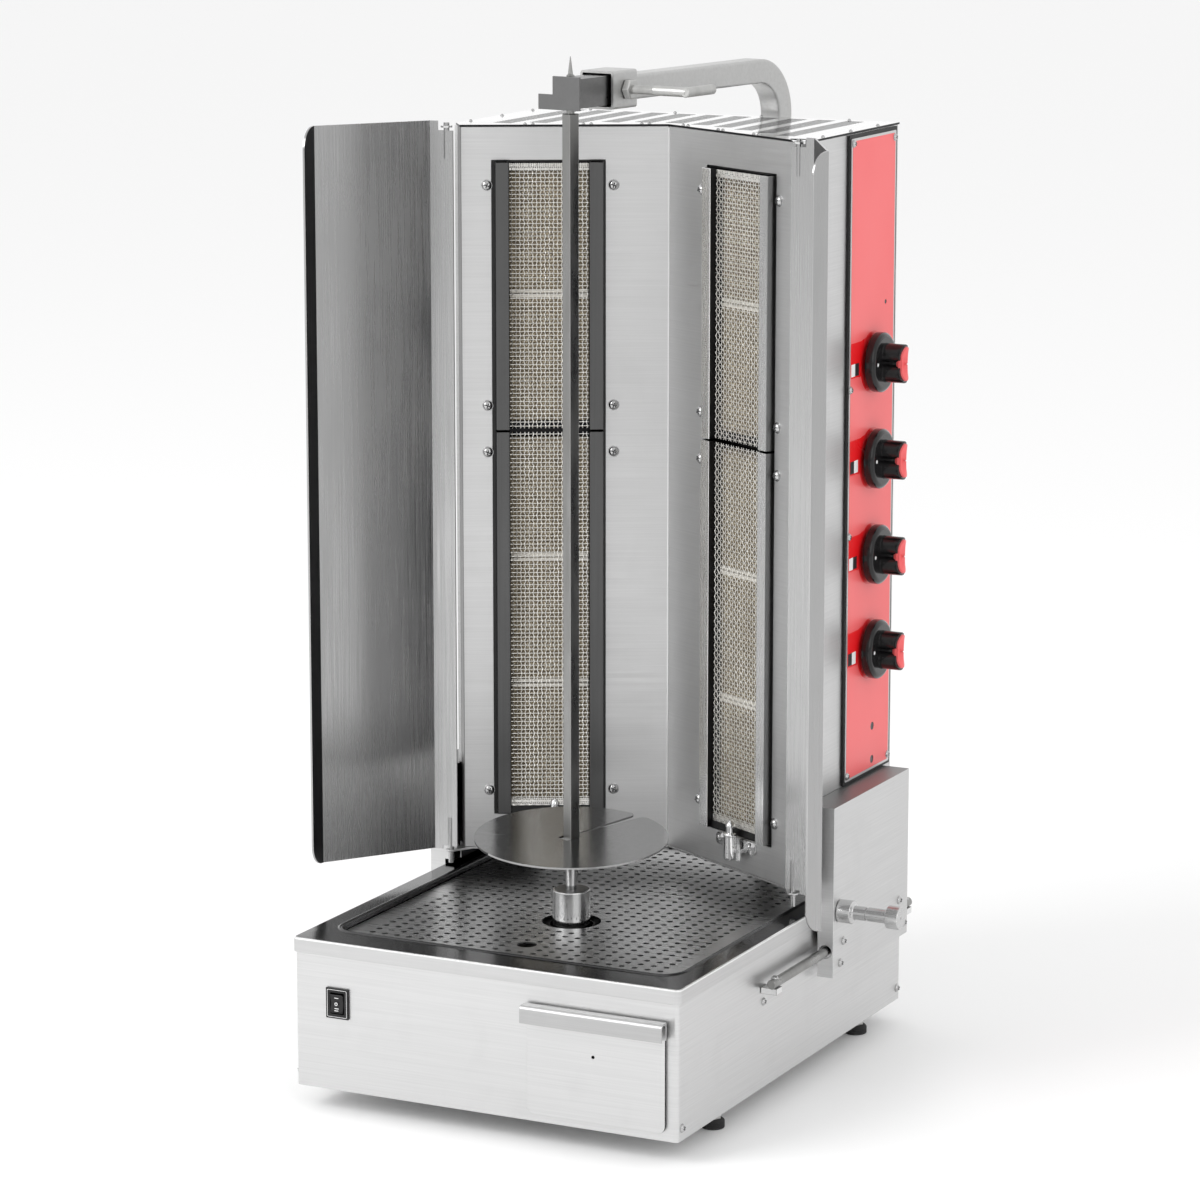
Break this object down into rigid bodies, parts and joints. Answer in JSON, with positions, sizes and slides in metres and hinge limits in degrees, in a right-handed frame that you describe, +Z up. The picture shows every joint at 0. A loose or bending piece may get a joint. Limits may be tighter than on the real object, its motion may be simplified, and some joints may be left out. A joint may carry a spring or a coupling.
{
  "type": "vertical rotisserie broiler",
  "caption": "Gas vertical rotisserie broiler: sliding V-shaped cabinet of ceramic burners with swing doors, round meat disc on a powered spit, arm, drip tray and grease drawer.",
  "frame": {"origin": "bottom centre of the whole machine's box, on the surface it stands on", "axes": "+Z up; the front of the machine, with the switch and the grease drawer, faces -Y; the gas knobs are on the +X side"},
  "size_m": [0.5948, 0.6016, 1.049],
  "materials": {
    "brushed_steel": "stainless sheet with a fine straight brushed grain",
    "polished_steel": "stainless with a near-mirror polish",
    "deck_steel": "bright-annealed stainless, glossy and dark from what it reflects",
    "spit_steel": "drawn square stainless bar, slightly dull",
    "zinc_plated_steel": "zinc-plated or plain turned steel",
    "dull_steel": "cold-rolled stainless, satin",
    "guard_wire": "woven heat-resisting wire, a little browned",
    "ceramic_plaque": null,
    "brass": "machined brass",
    "red_panel": "glossy red control panel",
    "black_plastic": "glossy black heat-resisting plastic",
    "foot_rubber": "black rubber and plastic levelling foot",
    "motor_enamel": "dark grey enamel on the gear case and motor"
  },
  "bodies": {
    "base": {"base_shell": "brushed_steel", "deck_pan": "deck_steel", "foot_front_left": "foot_rubber", "foot_front_right": "foot_rubber", "foot_rear_left": "foot_rubber", "foot_rear_right": "foot_rubber", "gearmotor": "motor_enamel", "switch_bezel": "black_plastic", "cable_gland": "black_plastic", "guide_rod_left": "zinc_plated_steel", "guide_rod_right": "zinc_plated_steel", "arm_tube": "brushed_steel"},
    "carriage": {"cabinet_floor": "brushed_steel", "top_plate": "polished_steel", "cabinet_back": "brushed_steel", "cabinet_side_left": "brushed_steel", "cabinet_side_right": "brushed_steel", "slide_cover_left": "brushed_steel", "slide_cover_right": "brushed_steel", "slide_block_left": "brass", "slide_block_right": "brass", "burner_panel_left": "brushed_steel", "burner_panel_right": "brushed_steel", "burner_housing_lower_left": "dull_steel", "burner_housing_lower_right": "dull_steel", "burner_housing_upper_left": "dull_steel", "burner_housing_upper_right": "dull_steel", "burner_plaques_lower_left": "ceramic_plaque", "burner_plaques_lower_right": "ceramic_plaque", "burner_plaques_upper_left": "ceramic_plaque", "burner_plaques_upper_right": "ceramic_plaque", "burner_guard_lower_left": "guard_wire", "burner_guard_lower_right": "guard_wire", "burner_guard_upper_left": "guard_wire", "burner_guard_upper_right": "guard_wire", "pilot_left": "brass", "pilot_right": "brass", "control_bezel": "black_plastic", "control_panel": "red_panel", "gas_manifold": "brass"},
    "left_door": {"left_door": "brushed_steel"},
    "right_door": {"right_door": "brushed_steel"},
    "spit": {"drive_hub": "polished_steel", "spit_bar": "spit_steel", "meat_disc": "polished_steel"},
    "spit_head": {"spit_head": "dull_steel"},
    "head_clamp": {"head_clamp_bolt": "zinc_plated_steel"},
    "drip_tray": {"perforated_tray": "deck_steel"},
    "grease_drawer": {"grease_drawer": "brushed_steel", "drawer_handle": "polished_steel"},
    "power_rocker": {"switch_rocker": "black_plastic"},
    "carriage_lock": {"lock_handle": "polished_steel"},
    "valve_stem_1": {"knob_stem_1": "zinc_plated_steel"},
    "gas_knob_1": {"knob_1": "black_plastic"},
    "valve_stem_2": {"knob_stem_2": "zinc_plated_steel"},
    "gas_knob_2": {"knob_2": "black_plastic"},
    "valve_stem_3": {"knob_stem_3": "zinc_plated_steel"},
    "gas_knob_3": {"knob_3": "black_plastic"},
    "valve_stem_4": {"knob_stem_4": "zinc_plated_steel"},
    "gas_knob_4": {"knob_4": "black_plastic"}
  },
  "joints": [
    {"name": "carriage_slide", "type": "slide", "parent": "base", "child": "carriage", "axis": [0, -1, 0], "range_m": [-0.0075, 0.07]},
    {"name": "left_door_swing", "type": "hinge", "parent": "carriage", "child": "left_door", "pos_m": [-0.20208, 0.01687, 0.584], "axis": [0, 0, 1], "range_deg": [-40, 62]},
    {"name": "right_door_swing", "type": "hinge", "parent": "carriage", "child": "right_door", "pos_m": [0.19332, 0.01687, 0.584], "axis": [0, 0, -1], "range_deg": [-45, 56]},
    {"name": "spit_spin", "type": "hinge", "parent": "base", "child": "spit", "pos_m": [-0.00438, -0.09223, 0.2065], "axis": [0, 0, 1], "continuous": true},
    {"name": "head_slide", "type": "slide", "parent": "base", "child": "spit_head", "axis": [-0.1334, -0.9911, 0], "range_m": [0, 0.008]},
    {"name": "head_clamp_turn", "type": "hinge", "parent": "base", "child": "head_clamp", "pos_m": [0.03477, -0.02626, 1.013], "axis": [0.9911, -0.1334, 0], "continuous": true},
    {"name": "tray_lift", "type": "slide", "parent": "base", "child": "drip_tray", "axis": [0, 0, 1], "range_m": [0, 0.022]},
    {"name": "drawer_slide", "type": "slide", "parent": "base", "child": "grease_drawer", "axis": [0, -1, 0], "range_m": [0, 0.19]},
    {"name": "rocker_tilt", "type": "hinge", "parent": "base", "child": "power_rocker", "pos_m": [-0.16817, -0.28223, 0.115], "axis": [1, 0, 0], "range_deg": [-8, 8]},
    {"name": "carriage_lock_turn", "type": "hinge", "parent": "carriage", "child": "carriage_lock", "pos_m": [0.25562, 0.05377, 0.176], "axis": [1, 0, 0], "continuous": true},
    {"name": "knob_1_push", "type": "slide", "parent": "carriage", "child": "valve_stem_1", "axis": [-1, 0, 0], "range_m": [0, 0.0035], "stiffness_N_per_m": 900, "springref_m": -0.002},
    {"name": "knob_1_turn", "type": "hinge", "parent": "valve_stem_1", "child": "gas_knob_1", "pos_m": [0.21563, 0.18577, 0.7245], "axis": [1, 0, 0], "range_deg": [0, 180]},
    {"name": "knob_2_push", "type": "slide", "parent": "carriage", "child": "valve_stem_2", "axis": [-1, 0, 0], "range_m": [0, 0.0035], "stiffness_N_per_m": 900, "springref_m": -0.002},
    {"name": "knob_2_turn", "type": "hinge", "parent": "valve_stem_2", "child": "gas_knob_2", "pos_m": [0.21563, 0.18577, 0.6241], "axis": [1, 0, 0], "range_deg": [0, 180]},
    {"name": "knob_3_push", "type": "slide", "parent": "carriage", "child": "valve_stem_3", "axis": [-1, 0, 0], "range_m": [0, 0.0035], "stiffness_N_per_m": 900, "springref_m": -0.002},
    {"name": "knob_3_turn", "type": "hinge", "parent": "valve_stem_3", "child": "gas_knob_3", "pos_m": [0.21563, 0.18577, 0.5237], "axis": [1, 0, 0], "range_deg": [0, 180]},
    {"name": "knob_4_push", "type": "slide", "parent": "carriage", "child": "valve_stem_4", "axis": [-1, 0, 0], "range_m": [0, 0.0035], "stiffness_N_per_m": 900, "springref_m": -0.002},
    {"name": "knob_4_turn", "type": "hinge", "parent": "valve_stem_4", "child": "gas_knob_4", "pos_m": [0.21563, 0.18577, 0.4233], "axis": [1, 0, 0], "range_deg": [0, 180]}
  ]
}
